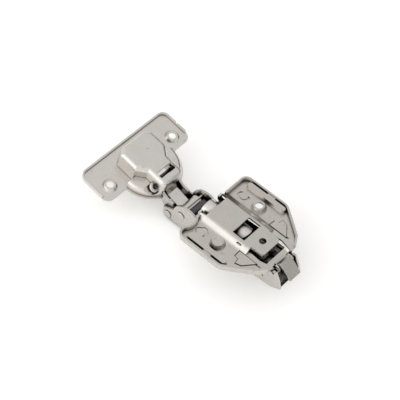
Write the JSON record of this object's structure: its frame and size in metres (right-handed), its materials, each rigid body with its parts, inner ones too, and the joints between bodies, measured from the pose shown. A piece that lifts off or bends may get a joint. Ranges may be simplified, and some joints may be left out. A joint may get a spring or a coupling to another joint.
{
  "type": "concealed cup hinge",
  "caption": "Clip-on soft-close cabinet hinge, standing open: drawn cup on swinging links, channel arm with adjusters and release lever, and a winged mounting plate.",
  "frame": {"origin": "midway between the mounting plate's two screw holes, on the face that meets the cabinet side", "axes": "+X from the cup to the rear of the arm, +Y along the hinge pivots, +Z into the cabinet side"},
  "size_m": [0.1244, 0.0646, 0.03],
  "materials": {
    "nickel_sheet": "nickel-plated stamped sheet, satin",
    "nickel_pin": "nickel-plated turned steel",
    "spring_steel": "drawn spring wire",
    "damper_plastic": "moulded dark grey plastic",
    "piston_steel": "ground rod"
  },
  "bodies": {
    "mount": {"base_plate": "nickel_sheet", "clip_carrier": "nickel_sheet", "lever_pin": "nickel_pin", "lever_spring": "spring_steel"},
    "adjuster": {"adjuster_plate": "nickel_sheet"},
    "depth_cam": {"depth_cam": "nickel_pin"},
    "overlay_screw": {"overlay_screw": "nickel_pin"},
    "arm": {"hinge_arm": "nickel_sheet", "tilt_pin": "nickel_pin", "front_rivet": "nickel_pin", "rear_rivet": "nickel_pin", "closing_spring": "spring_steel", "damper_bracket": "nickel_sheet", "damper_housing": "damper_plastic"},
    "damper_piston": {"damper_piston": "piston_steel"},
    "outer_link": {"outer_link": "nickel_sheet"},
    "cup": {"hinge_cup": "nickel_sheet", "cup_pin": "nickel_pin"},
    "inner_link": {"inner_link": "nickel_sheet"},
    "release_lever": {"release_lever": "nickel_sheet"}
  },
  "joints": [
    {"name": "depth_slide", "type": "slide", "parent": "mount", "child": "adjuster", "axis": [1, 0, 0], "range_m": [-0.0012, 0.0012]},
    {"name": "depth_cam_turn", "type": "hinge", "parent": "adjuster", "child": "depth_cam", "pos_m": [0.014, 0, -0.0204], "axis": [0, 0, 1], "range_deg": [-45, 45]},
    {"name": "overlay_tilt", "type": "hinge", "parent": "adjuster", "child": "arm", "pos_m": [0.024, 0, -0.014], "axis": [0, -1, 0], "range_deg": [-1.5, 1.5]},
    {"name": "overlay_screw_turn", "type": "hinge", "parent": "adjuster", "child": "overlay_screw", "pos_m": [-0.003, 0, -0.0232], "axis": [0, 0, 1], "range_deg": [-320, 320]},
    {"name": "damper_stroke", "type": "slide", "parent": "arm", "child": "damper_piston", "axis": [1, 0, 0], "range_m": [0, 0.0035], "stiffness_N_per_m": 150, "springref_m": -0.003},
    {"name": "outer_link_swing", "type": "hinge", "parent": "arm", "child": "outer_link", "pos_m": [-0.04166, 0, -0.02348], "axis": [0, -1, 0], "range_deg": [-22.8, 0.9]},
    {"name": "door_fold", "type": "hinge", "parent": "outer_link", "child": "cup", "pos_m": [-0.05341, 0, -0.00788], "axis": [0, -1, 0], "range_deg": [-3.67, 124.28]},
    {"name": "inner_link_swing", "type": "hinge", "parent": "cup", "child": "inner_link", "pos_m": [-0.0502, 0, -0.01074], "axis": [0, -1, 0], "range_deg": [-140, 4.5]},
    {"name": "lever_press", "type": "hinge", "parent": "mount", "child": "release_lever", "pos_m": [0.031, 0, -0.0053], "axis": [0, 1, 0], "range_deg": [0, 14], "stiffness_Nm_per_rad": 0.04, "springref_deg": -8.59}
  ],
  "couplings": [
    {"joint": "depth_cam_turn", "follows": "depth_slide", "rad_per_m": 654.5},
    {"joint": "overlay_screw_turn", "follows": "overlay_tilt", "ratio": 212},
    {"joint": "outer_link_swing", "follows": "door_fold", "ratio": -0.18167},
    {"joint": "inner_link_swing", "follows": "door_fold", "ratio": -1.1227}
  ]
}
